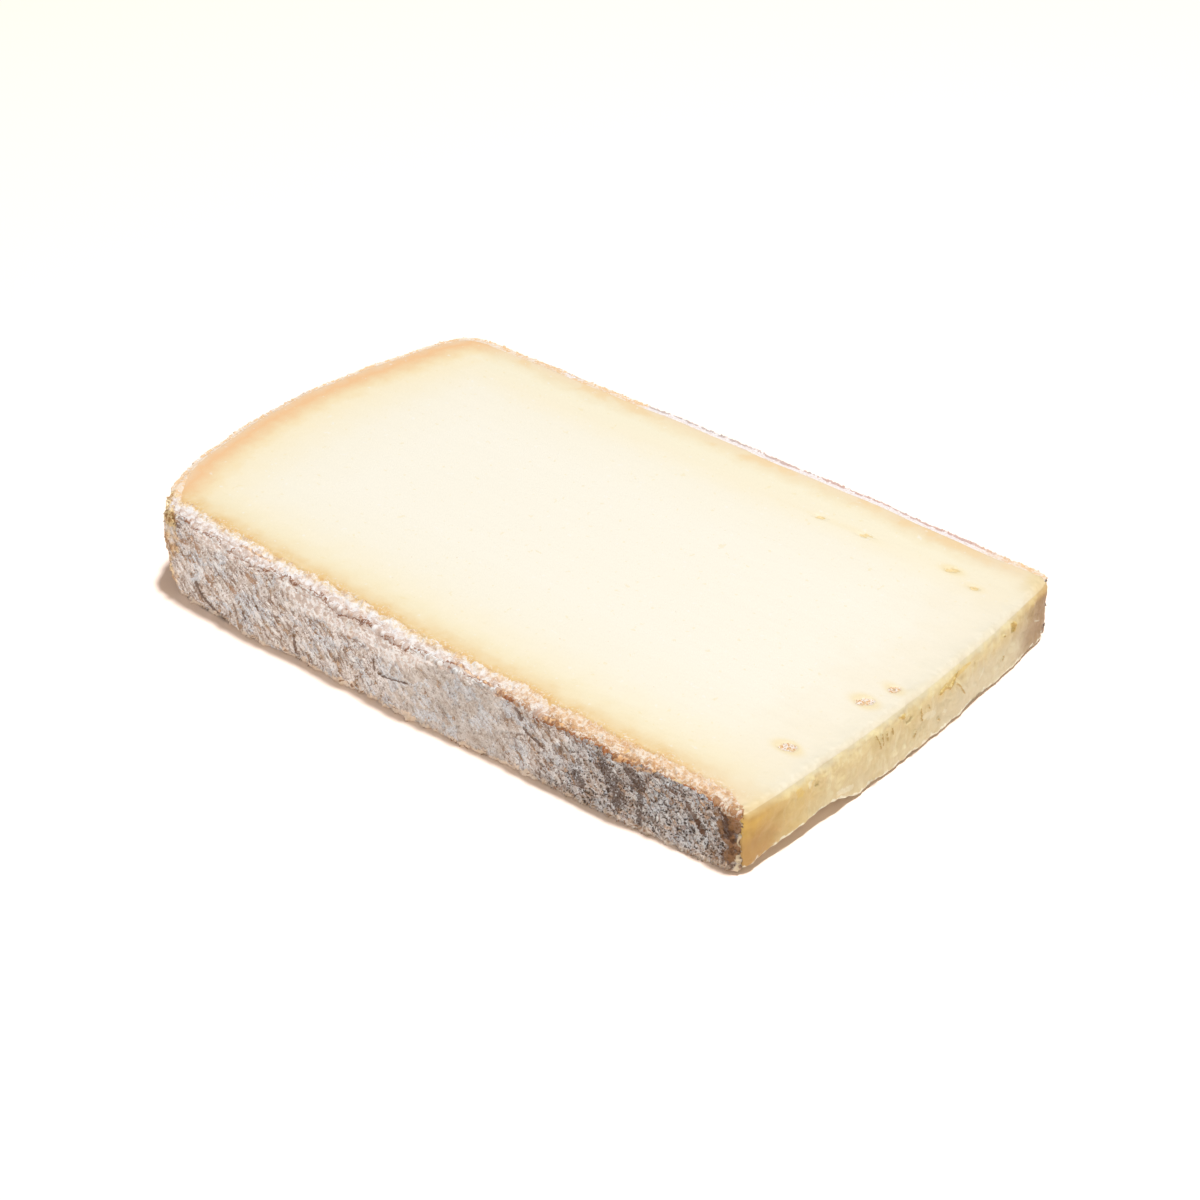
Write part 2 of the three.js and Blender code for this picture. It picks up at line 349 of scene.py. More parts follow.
# %% [markdown]
# ## The rind's marks
# Most of the rind is a pattern without end, which noise can draw. A few things on it are
# single: long cracks, dark blotches, ochre places where the mould rubbed off, and lumps
# at the corner and the foot. Each could be a small mesh, and would look stuck on. They
# are lines on the wall instead, and each vertex keeps how near it is to them, so that
# the relief and the colour can both follow with broken edges.
# %% Name the rind's marks
# Each runs from one place to another, in millimetres along the front wall and up it. The
# last number is half its width.
FRONT_CRACKS = [
    (-56.9, 5.9, -55.2, 4.0, 0.55), (-55.2, 4.0, -50.9, 1.4, 0.5), (-43.2, 4.6, -42.6, 3.7, 0.6),
    (-38.9, 8.0, -38.5, 7.4, 0.5), (-64.8, 18.6, -64.2, 17.4, 0.7), (-62.2, 17.0, -61.8, 16.2, 0.6),
    (-62.0, 18.3, -56.8, 18.5, 0.3), (-24.9, 20.0, -29.6, 17.0, 0.6), (-25.6, 19.6, -24.0, 16.4, 0.6),
    (-20.9, 19.0, -21.2, 16.8, 0.4), (-15.0, 17.6, -15.7, 15.2, 0.6), (-15.5, 15.0, -14.0, 12.6, 0.9),
    (1.0, 15.0, 1.6, 14.3, 0.6), (-7.9, 9.2, -7.6, 6.9, 0.35), (-6.6, 6.7, 1.1, 7.8, 0.28),
    (-29.1, 5.2, -28.8, 1.4, 0.5), (26.3, 13.7, 28.2, 11.8, 0.75), (28.8, 9.8, 33.4, 8.2, 0.5),
    (59.6, 11.2, 61.8, 10.6, 0.5), (64.3, 9.6, 68.0, 5.2, 0.6), (73.4, 8.8, 73.6, 1.0, 0.7),
]
FRONT_PATCHES = [
    (-40.9, 13.3, -39.6, 13.2, 1.5), (-46.4, 9.0, -45.8, 8.2, 1.0), (47.0, 10.4, 50.6, 4.4, 2.2),
    (-54.2, 8.7, -52.8, 8.2, 0.9), (-58.3, 11.4, -58.6, 9.6, 0.5), (-60.6, 13.6, -59.4, 13.6, 1.0),
    (-56.4, 14.2, -55.8, 13.4, 1.0), (-8.0, 14.2, -6.2, 15.0, 0.8), (-13.9, 13.0, -14.2, 11.4, 1.0),
    (41.0, 5.6, 42.0, 4.6, 1.6), (52.0, 11.2, 54.8, 8.8, 1.5), (54.4, 9.8, 54.6, 1.4, 0.9),
    (71.4, 12.0, 73.2, 9.4, 1.3), (66.6, 7.0, 67.6, 5.8, 1.0),
]
FRONT_OCHRES = [
    (-45.4, 19.3, -37.2, 19.4, 0.4), (11.4, 16.4, 16.8, 15.8, 0.45), (18.4, 15.4, 20.6, 15.0, 0.5),
    (22.2, 13.9, 23.6, 14.9, 0.6), (33.0, 13.8, 38.0, 14.0, 0.4), (49.0, 12.6, 52.6, 13.6, 0.8),
    (53.8, 12.2, 57.0, 13.0, 0.7),
]
FRONT_KNOBS = [(-70.5, 18.4, -64.6, 17.2, 3.2), (-61.4, 1.0, -46.0, 0.4, 1.3)]


def nearness(u, v, marks):
    """1 on the nearest mark's line, 0 at its width, and below 0 farther off."""
    best = np.full(u.shape, -1.0)
    for u_from, v_from, u_to, v_to, width in marks:
        du, dv = u_to - u_from, v_to - v_from
        share = np.clip(((u - u_from) * du + (v - v_from) * dv) / (du * du + dv * dv), 0.0, 1.0)
        distance = np.hypot(u - u_from - share * du, v - v_from - share * dv)
        best = np.maximum(best, 1.0 - distance / width)
    return best


# %% Wrap the three lengths of rind
RIM_JOINTS_Y = (-36.0, 38.0)  # the lengths meet at these places of the rim
STEPS = {"front": 0.21, "rim": 0.26, "back": 0.25}  # between columns
OVERLAP = 0.2  # directions at a seam are taken from this far on both sides of it
MARKS = {"cracks": FRONT_CRACKS, "patches": FRONT_PATCHES, "ochres": FRONT_OCHRES, "knobs": FRONT_KNOBS}

on_rim = np.flatnonzero(base[:, 0] < -60.0)
joints = [walk[on_rim[np.argmin(abs(base[on_rim, 1] - y))]] for y in RIM_JOINTS_Y]
lengths = {"front": (0.0, joints[0]), "rim": tuple(joints), "back": (joints[1], walk[-1])}
rinds = {}
for side, (first, last) in lengths.items():
    distances = np.linspace(first, last, 1 + round((last - first) / STEPS[side]))
    places, belt, below, cover = rind_tables(distances)
    longer = np.concatenate([[first - OVERLAP], distances, [last + OVERLAP]]).clip(0.0, walk[-1])
    tables = {"belt": belt, "below": below, "cover": cover}
    tables["face_out"] = facing(rind_tables(longer)[0])[1:-1]
    for mark, lines in MARKS.items():
        tables[mark] = nearness(belt[..., 0], belt[..., 1], lines)
    rinds[side] = wrap(f"rind_{side}", places, tables)

# %% [markdown]
# ## The paste's shape
# The paste fills the rind. It is a second skin, wrapped the other way: its columns are
# thin slices from the front rind to the back one, and its rows go round each slice, over
# the upper cut, down the cut end and back along the underside. The rows lie close on the
# cut end, where cracks show, and far apart where the cut is smooth. The skin begins
# under the crumbly slope and never beyond the rind's inner edge, or a dark gap would
# show between the two.
# %% Find the paste's limits
PASTE_INSET = 1.2  # the paste starts this far behind the rind's outer face
RIM_INSET = 0.7  # this far behind the rim's upper edge, whose slope is narrow
END_INSET = 0.55  # and less at the cut end, where it shows right up to the corner
END_FROM, END_TO = 70.0, 74.5  # the inset changes between these places
BACK_CORNER_INSET = 1.6  # and the back corner, which is rounder, needs this much more
LINES_FROM, FRONT_LINE_TO, BACK_LINE_TO = -67.0, 73.0, 71.0
PASTE_COLUMNS = 400
END_CORNERS_Y, END_STATIONS = (-48.3, 47.8), 300

first_half = walk < walk[-1] / 2
front_line = base[first_half & (base[:, 0] > LINES_FROM) & (base[:, 0] < FRONT_LINE_TO)][::-1]
back_line = base[~first_half & (base[:, 0] > LINES_FROM) & (base[:, 0] < BACK_LINE_TO)]
upper = base + wall_offset[:, -1:] * outward  # the rind's upper edge, seen from above
rim_line = upper[(base[:, 0] < -60) & (abs(base[:, 1]) < 45)]


def side_limits(x):
    """The paste's front and back edges (y) at a place along the slice."""
    at_end = smooth(x, END_FROM, END_TO)
    inset = PASTE_INSET + (END_INSET - PASTE_INSET) * at_end
    front = np.interp(x, front_line[:, 0], front_line[:, 1]) + inset
    back = np.interp(x, back_line[:, 0], back_line[:, 1]) - inset - BACK_CORNER_INSET * at_end
    return front, back


end_y = np.linspace(*END_CORNERS_Y, END_STATIONS)
end_line = np.array([ray((60.0, y, WALK_HEIGHT), (1.0, 0.0, 0.0))[0] for y in end_y])
rim_y, rim_x = rim_line[:, 1], rim_line[:, 0] + RIM_INSET
print("the cut end stands at", end_line.min().round(2), "to", end_line.max().round(2), "mm")

# %% Lay out the paste's rows
ARRIS = 2.0  # radius of the cut end's worn upper edge
ARRIS_ROWS = 7
TOP_GRADES = [(ARRIS + 0.3, 21.0, 0.44), (21.0, 51.0, 1.0)]  # from and to, off the end, and the step
RIM_STEPS = (0, 0.15, 0.3, 0.5, 0.75, 1.05, 1.4, 1.9, 2.6, 3.6, 5, 7, 10)  # off the rim
COARSE_ROWS = 22
END_ROWS = 54
END_DEPTH = 12.4  # the rows below the worn edge are spread over this depth
UNDER_ROWS = 20
RIM_HEIGHTS, RIM_LEAN = (0.05, 0.5, 0.9), 3.0  # the hidden rows behind the rim
UNDER_SLOPE = 0.6  # how far the paste lies below the rind's crumbly slope at the front
EYE_DEPTH = 0.3  # the small holes are no deeper than this
RIM_DEPTH, RIM_ZONE = 1.5, 1.2  # but so close to the rim the skin may follow the slope down

column = np.linspace(0.0, 1.0, PASTE_COLUMNS)


def kept_inside(x, y):
    """Places that lie outside the rim's round corners, pushed back under the rind."""
    away = np.stack([x, y], axis=1)[:, None] - upper[None]
    closest = (away**2).sum(axis=2).argmin(axis=1)
    out = outward[closest]
    depth = -(away[np.arange(PASTE_COLUMNS), closest] * out).sum(axis=1)
    short = np.clip(RIM_INSET - depth, 0.0, None)
    return x - short * out[:, 0], y - short * out[:, 1]


def slice_line(back=None, from_rim=None):
    """Each slice's place (x, y) at a distance from the cut end, or from the rim."""
    x = np.full(PASTE_COLUMNS, 70.0 if back is not None else -70.0)
    for _ in range(3):
        front, rear = side_limits(x)
        y = front + (rear - front) * column
        end, rim = np.interp(y, end_y, end_line), np.interp(y, rim_y, rim_x)
        x = end - back if back is not None else rim + from_rim * (end - rim)
    return (x, y) if back is not None else kept_inside(x, y)


def rounding(inwards):
    """How far the worn edge lies below a sharp one, at a distance from it."""
    left = np.clip(ARRIS - inwards, 0.0, ARRIS)
    return ARRIS - np.sqrt(ARRIS**2 - left**2)


def top_row(x, y, inwards, deepest=EYE_DEPTH):
    """One row of the upper cut, at a distance from the cut end."""
    heights = top_plane(x)
    if inwards > ARRIS:
        seen = np.array([height_of_top(a, b) for a, b in zip(x, y)])
        heights = np.maximum(seen, heights - deepest)
    return np.stack([x, y, heights - rounding(inwards)], axis=1)


# %% Measure the paste's rows
rows = []
arris_steps = ARRIS * (1.0 - np.cos(np.linspace(math.pi / 4, math.pi / 2, ARRIS_ROWS)))
fine_back = np.concatenate([arris_steps, *(np.arange(*grade) for grade in TOP_GRADES)])
rim_start, last = slice_line(from_rim=0.0), slice_line(back=TOP_GRADES[-1][1])
reach = (last[0] - rim_start[0]).max()
for step in [*RIM_STEPS, *np.linspace(RIM_STEPS[-1], reach, COARSE_ROWS)[1:-1]]:
    x, y = (a + (b - a) * step / reach for a, b in zip(rim_start, last))
    rows.append(top_row(x, y, TOP_GRADES[-1][1], RIM_DEPTH if step < RIM_ZONE else EYE_DEPTH))
for back in fine_back[::-1]:
    rows.append(top_row(*slice_line(back=back), back))
top_rows = len(rows)

end_x, end_row_y = slice_line(back=0.0)
low = np.array([ray((a - 0.15, b, -1.0), UP)[2] for a, b in zip(end_x, end_row_y)]) + FOOT
high = top_plane(end_x)
down_to = np.linspace(ARRIS + 0.22, END_DEPTH, END_ROWS - ARRIS_ROWS + 1)
end_shares = np.concatenate([arris_steps[1:], down_to]) / END_DEPTH
for share in end_shares:
    height = high + (low - high) * share
    probed = zip(end_row_y, np.minimum(height, high - 0.3))
    found = [ray((60.0, b, h), (1.0, 0.0, 0.0))[0] for b, h in probed]
    uneven = (np.maximum(found, end_x - EYE_DEPTH) - end_x) * smooth(high - height, 0.6, 3.2)
    x = end_x + uneven - rounding(high - height)
    rows.append(np.stack([x, end_row_y, height], axis=1))

for share in np.linspace(0.0, 1.0, UNDER_ROWS) ** 2:
    start, inner = slice_line(back=0.3), slice_line(from_rim=0.03)
    x, y = (a + (b - a) * share for a, b in zip(start, inner))
    rows.append([(a, b, ray((a, b, -1.0), UP)[2]) for a, b in zip(x, y)])

x, y = rim_start
for share in RIM_HEIGHTS:
    rows.append(np.stack([x + RIM_LEAN * (1.0 - share), y, share * top_plane(x)], axis=1))
rows.append(rows[0])
paste_places = np.swapaxes(np.array([np.array(row) for row in rows]), 0, 1)
print("the paste has", *paste_places.shape[:2], "columns and rows")

# %% Name the cut end's marks
# As on the rind, but in millimetres across the cut end and up it.
END_CRACKS = [
    (6.4, 9.2, 8.2, 9.6, 0.42), (8.2, 9.6, 9.8, 8.6, 0.45), (9.8, 8.6, 11.8, 9.8, 0.38),
    (11.8, 9.8, 12.2, 11.0, 0.34), (12.2, 11.0, 15.5, 10.9, 0.36), (15.5, 10.9, 16.8, 12.0, 0.3),
    (12.0, 8.6, 13.7, 6.8, 0.28), (13.7, 6.8, 15.0, 4.8, 0.24), (32.2, 12.6, 32.3, 11.4, 0.4),
    (32.3, 11.4, 33.9, 9.7, 0.42), (33.9, 9.7, 33.3, 8.8, 0.34), (29.2, 9.8, 29.6, 9.5, 0.34),
    (29.5, 5.3, 29.0, 4.5, 0.28), (-6.5, 11.2, -5.0, 9.9, 0.5), (-0.3, 9.6, 0.2, 7.4, 0.24),
    (0.2, 7.4, 0.9, 6.2, 0.24), (-1.2, 5.1, -1.8, 4.0, 0.26), (2.6, 8.4, 3.0, 7.8, 0.24),
    (6.6, 3.6, 7.0, 3.2, 0.3), (-30.6, 12.2, -31.4, 10.8, 0.36), (-32.8, 12.4, -32.4, 11.2, 0.36),
    (-14.0, 11.3, -12.8, 8.9, 0.2), (-12.8, 8.9, -12.1, 7.1, 0.2), (-11.9, 10.2, -11.4, 7.5, 0.22),
    (-10.3, 9.4, -9.9, 7.4, 0.2), (-8.8, 9.8, -8.5, 8.2, 0.2),
]
END_OCHRES = [
    (-44.4, 13.4, -41.0, 11.6, 1.8), (-31.4, 12.6, -28.6, 11.6, 1.0), (-36.0, 11.8, -34.6, 9.6, 1.2),
    (-6.6, 11.2, -5.0, 10.2, 0.9), (7.0, 9.2, 16.0, 10.8, 1.3), (31.8, 12.8, 33.8, 9.2, 1.4),
]
END_FROSTS = [
    (22.6, 5.9, 21.0, 4.8, 0.5), (8.6, 4.2, 9.2, 3.8, 0.6), (-31.6, 11.4, -32.2, 9.8, 0.6),
    (42.0, 6.4, 44.3, 5.4, 0.25), (32.6, 12.2, 32.8, 11.8, 0.5), (-24.0, 4.2, -20.0, 3.0, 0.9),
    (2.0, 6.6, 5.0, 5.4, 1.2),
]

# %% Find what each vertex of the paste lies near
row_number = np.arange(paste_places.shape[1])
on_end = ((row_number >= top_rows) & (row_number < top_rows + END_ROWS)).astype(float)
shown = np.flatnonzero(row_number < top_rows + END_ROWS)
gap = np.full(paste_places.shape[:2], 50.0)
nearest = np.zeros(paste_places.shape[:2], dtype=int)
for k in shown:
    away = paste_places[:, k, None, :2] - base[None]
    squared = (away**2).sum(axis=2)
    nearest[:, k] = squared.argmin(axis=1)
    gap[:, k] = np.sqrt(squared.min(axis=1))

on_slope = (gap + wall_offset[nearest, -1]) / slope_width[nearest]
under_rind = (1.0 - on_end) * (row_number < top_rows)
eye = smooth(top_plane(paste_places[..., 0]) - paste_places[..., 2], 0.06, 0.3) * under_rind
from_end = np.interp(paste_places[..., 1], end_y, end_line) - paste_places[..., 0]
eye *= smooth(from_end, ARRIS, ARRIS + 0.4) * smooth(gap, 7.0, 9.0)
face_out = facing(paste_places)
width_share = slope_width[nearest] / SLOPE_WIDTH["front"]
rising = 0.3 + 0.42 * width_share  # the share of the slope where the paste starts to come up
dip = UNDER_SLOPE * width_share * (1.0 - smooth((on_slope - rising) / (0.98 - rising), 0.0, 1.0))
paste_places[..., 2] -= dip * under_rind
paste_places[:, -1] = paste_places[:, 0]
across, up = paste_places[..., 1], paste_places[..., 2]
off_end = 1.0 - on_end * (1.0 - smooth(up - top_plane(paste_places[..., 0]), -1.9, -1.1))


def on_end_face(marks):
    return np.maximum(nearness(across, up, marks) - 2.0 * off_end, -1.0)


# %% Wrap the paste
HALO_PASSES = 50  # how often the small holes' mask is blurred into the tint round them

halo = eye.copy()
for _ in range(HALO_PASSES):
    halo[1:-1, 1:-1] += halo[2:, 1:-1] + halo[:-2, 1:-1] + halo[1:-1, 2:] + halo[1:-1, :-2]
    halo[1:-1, 1:-1] /= 5.0
paste = wrap("paste", paste_places, {
    "face_out": face_out,
    "on_end": on_end + 0.0 * gap,
    "gap": gap,
    "from_end": from_end,
    "nearest_u": base[0, 0] - walk[nearest],
    "eye": eye,
    "halo": halo,
    "from_foot": np.where(on_end > 0, paste_places[..., 2] - low[:, None], 9.0),
    "cracks": on_end_face(END_CRACKS),
    "ochres": on_end_face(END_OCHRES),
    "frosts": on_end_face(END_FROSTS),
})

# %% [markdown]
# ## Node maths, written as it is thought
# Relief and colour are both made of node maths: relief in a Geometry Nodes tree, which
# is applied at once, and colour in a shader tree. The two trees share their noise and
# maths nodes. One small class wraps a node's output, so that sums and products read as
# plain Python, and a pattern written once gives the same pits to both trees.
# %% Write node maths as expressions
def set_stops(ramp, values):
    """A ramp's places (0 to 1) and colours."""
    while len(ramp.elements) < len(values):
        ramp.elements.new(1.0)
    for element, (place, colour) in zip(ramp.elements, values):
        element.position, element.color = place, colour


class Wire:
    """A node's output that takes part in Python expressions."""

    def __init__(self, tree, output=None):
        self.tree = tree
        self.output = output

    def node(self, kind, settings=None, sockets=None, out=0):
        """Any node: first its settings, then the values and links of its sockets."""
        made = self.tree.nodes.new(kind)
        for name, value in (settings or {}).items():
            if name == "stops":
                set_stops(made.color_ramp, value)
            else:
                setattr(made, name, value)
        for name, value in (sockets or {}).items():
            if isinstance(value, Wire):
                self.tree.links.new(value.output, made.inputs[name])
            else:
                made.inputs[name].default_value = value
        return Wire(self.tree, made.outputs[out] if made.outputs else None)

    def math(self, operation, *others):
        sockets = dict(enumerate((self, *others)))
        return self.node("ShaderNodeMath", {"operation": operation}, sockets)

    def __add__(self, other):
        return self.math("ADD", other)

    def __sub__(self, other):
        return self.math("SUBTRACT", other)

    def __rsub__(self, other):
        return self.math("MULTIPLY_ADD", -1.0, other)

    def __mul__(self, other):
        return self.math("MULTIPLY", other)

    def __truediv__(self, other):
        return self.math("DIVIDE", other)

    __radd__ = __add__
    __rmul__ = __mul__

    def vector(self, operation, other):
        name = "Scale" if operation == "SCALE" else 1
        return self.node("ShaderNodeVectorMath", {"operation": operation}, {0: self, name: other})

    def axis(self, name):
        return self.node("ShaderNodeSeparateXYZ", sockets={0: self}, out="XYZ".index(name))


# %% Name soft steps, noises and turns
def rises(value, low, high):
    """0 below low, 1 above high, and a soft step in between."""
    sockets = {"Value": value, "From Min": low, "From Max": high}
    return value.node("ShaderNodeMapRange", {"interpolation_type": "SMOOTHSTEP"}, sockets)


def falls(value, low, high):
    """1 below low, 0 above high."""
    return 1.0 - rises(value, low, high)


def noise(place, size, detail=2.0, roughness=0.5):
    """Cloudy noise around 0, whose lumps have about this size (mm)."""
    sockets = {"Vector": place, "Scale": 1.0 / size, "Detail": detail, "Roughness": roughness}
    return place.node("ShaderNodeTexNoise", sockets=sockets) - 0.5


def along_zero(value, near, far):
    """A line where the value is 0, which ends where the value is far from it."""
    return falls(value.math("ABSOLUTE"), near, far)


def clouds(place, size, low, high, detail=3.0, roughness=0.65):
    """1 in the thick parts of a cloudy noise and 0 in the thin ones."""
    return rises(noise(place, size, detail, roughness), low, high)


def squeezed(place, factors):
    """The place with its axes scaled, so that a noise read there is drawn out."""
    return place.vector("MULTIPLY", factors)


def turned(place, degrees):
    """The place turned about its third axis."""
    sockets = {"Vector": place, "Angle": math.radians(degrees)}
    return place.node("ShaderNodeVectorRotate", {"rotation_type": "Z_AXIS"}, sockets)


# %% [markdown]
# ## The rind's relief
# A real rind is brushed and turned for months. It is lumpy at the width of a finger,
# scored by slanting strokes, pitted by mould, cracked where it dried, and crumbly at its
# foot and where the knife broke it. At the wall's upper edge thin flakes peel off, one
# behind the other. A sculptor would brush all this on; here each is one pattern with its
# own depth, so it can be tuned and repeated. They are summed into a height, and the
# vertices move that far along their outward direction, but never below the table.
# %% Name the rind's patterns
STROKE_TURN = 42.0  # degrees: the strokes run down towards the cut end


def ragged(line, place, size=0.7, amount=1.5):
    """A mark's nearness turned into a mask with broken edges."""
    return rises(line + amount * noise(place, size, 3.0, 0.65), 0.2, 0.5)


def zones(u, v, place):
    """Where the wall was left calm by the brush, and where it is dark and speckled."""
    calm = rises(u, -10.0, 2.0) * falls(u, 20.0, 30.0)
    front = rises(u - 0.9 * v + 9.0 * noise(place, 7.0), 24.0, 36.0)
    back = falls(u - 6.0 * noise(place, 9.0), -292.0, -272.0)
    return calm, front.math("MAXIMUM", back)


def crust(belt, place, calm):
    """How thick the mould's crust lies; below 0 it broke away."""
    flat = squeezed(turned(belt, STROKE_TURN), (0.46, 1.0, 0.0))
    thick = noise(flat, 1.6, 4.0, 0.65) + 0.35 * noise(place, 0.7, 3.0, 0.65)
    return thick + 0.09 + 0.06 * calm


def speckle(place, damp):
    """Dark dots of mould: few on most of the wall, and close together where it is damp."""
    dots = noise(place, 0.42, 3.0, 0.6)
    few = falls(dots, -0.125, -0.085)
    return few + damp * (falls(dots, -0.085, -0.05) - few)


def wrinkles(belt, place):
    """Thin broken lines, where the dry skin creased."""
    flat = squeezed(turned(belt, STROKE_TURN), (0.4, 1.0, 0.0))
    coarse = along_zero(noise(flat, 1.5, 2.0, 0.45), 0.01, 0.03)
    fine = along_zero(noise(place, 1.0, 2.0, 0.45), 0.008, 0.03)
    present = clouds(place, 2.4, -0.02, 0.04, roughness=0.5)
    fine = fine * (1.0 - present) * clouds(place, 1.7, 0.0, 0.05, 2.0, 0.5)
    return (coarse * present).math("MAXIMUM", fine)


def strokes(belt, place):
    """Short dark slits along the strokes of the brush."""
    flat = squeezed(turned(belt, STROKE_TURN), (0.34, 1.5, 0.0))
    return falls(noise(flat, 1.0, 2.0, 0.5) + 0.3 * noise(place, 4.0, 2.0), -0.14, -0.1)


# %% Name the patterns along the edges
def outlines(line, place):
    """Broken outlines of flakes that lie along a line, one behind the other."""
    wave = (line + 2.6 * noise(place, 1.7, 3.0, 0.6)).math("PINGPONG", 0.5)
    return falls(wave, 0.05, 0.13) * clouds(place, 2.2, -0.02, 0.02, 2.0, 0.5)


def flake_lines(below, place):
    """The outlines of flakes along the wall's upper edge."""
    return outlines(below + 3.0 * noise(place, 4.0, 2.0), place)


def crumbly(u):
    """1 where the knife broke the rind into crumbs, and 0 round the rim, where it didn't."""
    front, back = rises(u, -74.0, -66.0), falls(u, -232.0, -200.0)
    return front + 0.12 * back + 0.1


def skin_edge(below, place, crumbs):
    """Distance (mm) to the ragged line where the skin ends: below 0 on the broken slope."""
    return below + crumbs * (4.0 * noise(place, 2.6, 4.0, 0.65) + 4.0 * noise(place, 9.0, 1.0))


def frosting(u, below, place):
    """White mould along the upper edge, which reaches far down at the front's middle."""
    reach = 0.6 + 4.4 * rises(u, -36.0, -26.0) * falls(u, 0.0, 8.0)
    reach = reach + 1.8 * falls(u, -44.0, -36.0) * rises(u, -60.0, -54.0)
    edge = below + 7.0 * noise(place, 2.6, 4.0, 0.7) - reach
    return falls(edge, -0.5, 0.3) * falls(u, 22.0, 40.0)


# %% Build the tree that moves the vertices
def relief_tree(name, height_of):
    """A Geometry Nodes tree that lifts vertices by the height that a function makes."""
    tree = bpy.data.node_groups.new(name, "GeometryNodeTree")
    tree.interface.new_socket("Geometry", in_out="INPUT", socket_type="NodeSocketGeometry")
    tree.interface.new_socket("Geometry", in_out="OUTPUT", socket_type="NodeSocketGeometry")
    start = Wire(tree)

    def named(attribute, kind="FLOAT"):
        settings = {"data_type": kind}
        return start.node("GeometryNodeInputNamedAttribute", settings, {"Name": attribute})

    height = height_of(named)
    move = named("face_out", "FLOAT_VECTOR").vector("SCALE", height * MM)
    geometry = start.node("NodeGroupInput")
    lifted = start.node("GeometryNodeSetPosition", sockets={"Geometry": geometry, "Offset": move})
    position = start.node("GeometryNodeInputPosition")
    above_table = {0: position.axis("X"), 1: position.axis("Y"), 2: position.axis("Z").math("MAXIMUM", 0.0)}
    held = start.node("ShaderNodeCombineXYZ", sockets=above_table)
    stood = start.node("GeometryNodeSetPosition", sockets={"Geometry": lifted, "Position": held})
    sockets = {"Geometry": stood, "Name": "relief", "Value": height}
    stored = start.node("GeometryNodeStoreNamedAttribute", {"data_type": "FLOAT"}, sockets)
    start.node("NodeGroupOutput", sockets={"Geometry": stored})
    return tree


def apply_relief(piece, tree):
    bpy.ops.object.select_all(action="DESELECT")
    piece.select_set(True)
    bpy.context.view_layer.objects.active = piece
    modifier = piece.modifiers.new("relief", "NODES")
    modifier.node_group = tree
    bpy.ops.object.modifier_apply(modifier="relief")
    bpy.ops.object.shade_smooth()
    heights = np.empty(len(piece.data.vertices), dtype=np.float32)
    piece.data.attributes["relief"].data.foreach_get("value", heights)
    print(piece.name, "relief", heights.min().round(2), "to", heights.max().round(2), "mm")


# %% Give the rind its relief
def rind_height(named):
    place, belt = named("place", "FLOAT_VECTOR"), named("belt", "FLOAT_VECTOR")
    u, v, climbed = (belt.axis(name) for name in "XYZ")
    below, knobs = named("below"), named("knobs")
    calm, damp = zones(u, v, place)
    crumbs = crumbly(u)

    lumps = 1.4 * noise(place, 9.0, 1.0) + 0.5 * noise(place, 3.2, 2.0)
    whole = rises(crust(belt, place, calm), -0.02, 0.03)
    grain = (0.6 + 0.4 * damp) * noise(place, 0.6, 3.0, 0.65)
    worn = 0.18 * speckle(place, damp) + 0.16 * wrinkles(belt, place) + 0.16 * strokes(belt, place)
    cracked = 0.26 * ragged(named("cracks"), place) + 0.12 * ragged(named("patches"), place)
    wall = (lumps + 0.2 * whole + grain) * (0.3 + 0.7 * crumbs) * (1.0 - 0.5 * calm) - 0.3 - worn - cracked

    edge = skin_edge(below, place, crumbs)
    near_edge = along_zero(below, 0.1, 1.7) * crumbs
    chips = near_edge * (0.12 + 1.7 * noise(place, 2.3, 3.0, 0.6))
    peeling = along_zero(edge, 0.3, 1.6) * crumbs
    flakes = peeling * (0.06 - 0.14 * flake_lines(below, place))

    slabs = 2.6 * noise(squeezed(turned(belt, STROKE_TURN), (0.5, 1.0, 0.0)), 2.4, 4.0, 0.6)
    bits = 1.5 * noise(place, 0.9, 4.0, 0.7) * (0.3 + 0.7 * rises(climbed, 0.1, 0.4))
    broken = (slabs + bits + 0.05) * crumbs
    on_slope = rises(climbed, 0.02, 0.12)

    line = v + 5.0 * noise(place, 2.2, 3.0)
    foot = falls(line, 0.4, 1.8)
    crumbly_foot = foot * (2.6 * noise(place, 2.0, 4.0, 0.65) - 0.35 - 0.25 * outlines(v, place))
    bulge = 0.9 * rises(knobs + 2.0 * noise(place, 1.6, 2.0), 0.0, 0.8)
    height = wall + on_slope * (broken - wall) + (1.0 - on_slope) * crumbly_foot
    height = height + (1.0 - 0.7 * on_slope) * bulge
    inner = rises(climbed, 0.84, 1.0)
    height = (height + flakes - chips) * (1.0 - 0.8 * inner) - 0.1 * inner * crumbs
    return height * named("cover")


rind_tree = relief_tree("rind_relief", rind_height)
for rind in rinds.values():
    apply_relief(rind, rind_tree)

# %% [markdown]
# ## The paste's relief
# A long knife left the upper cut almost flat, with faint ripples along its way. The cut
# end has dried: it is uneven, finely combed from top to bottom and cracked in places. The
# small holes get a rough floor.
# %% Give the paste its relief
def paste_height(named):
    place = named("place", "FLOAT_VECTOR")
    sliced = 0.15 * noise(squeezed(place, (0.3, 1.0, 1.0)), 3.0, 2.0)
    sliced = sliced + named("eye") * (1.6 * noise(place, 0.8, 3.0, 0.6) + 0.1)
    at_end = named("on_end").math("MAXIMUM", falls(named("from_end"), 0.6, 3.5))
    worn = 1.6 * noise(place, 5.0, 3.0, 0.55) + 0.22 * noise(place, 0.7, 3.0, 0.6)
    combed = 0.36 * noise(squeezed(place, (1.0, 1.0, 0.2)), 0.8, 3.0, 0.6)
    end = worn + combed - 0.36 * ragged(named("cracks"), place, 0.5, 1.4)
    return sliced + at_end * (end - sliced)


apply_relief(paste, relief_tree("paste_relief", paste_height))

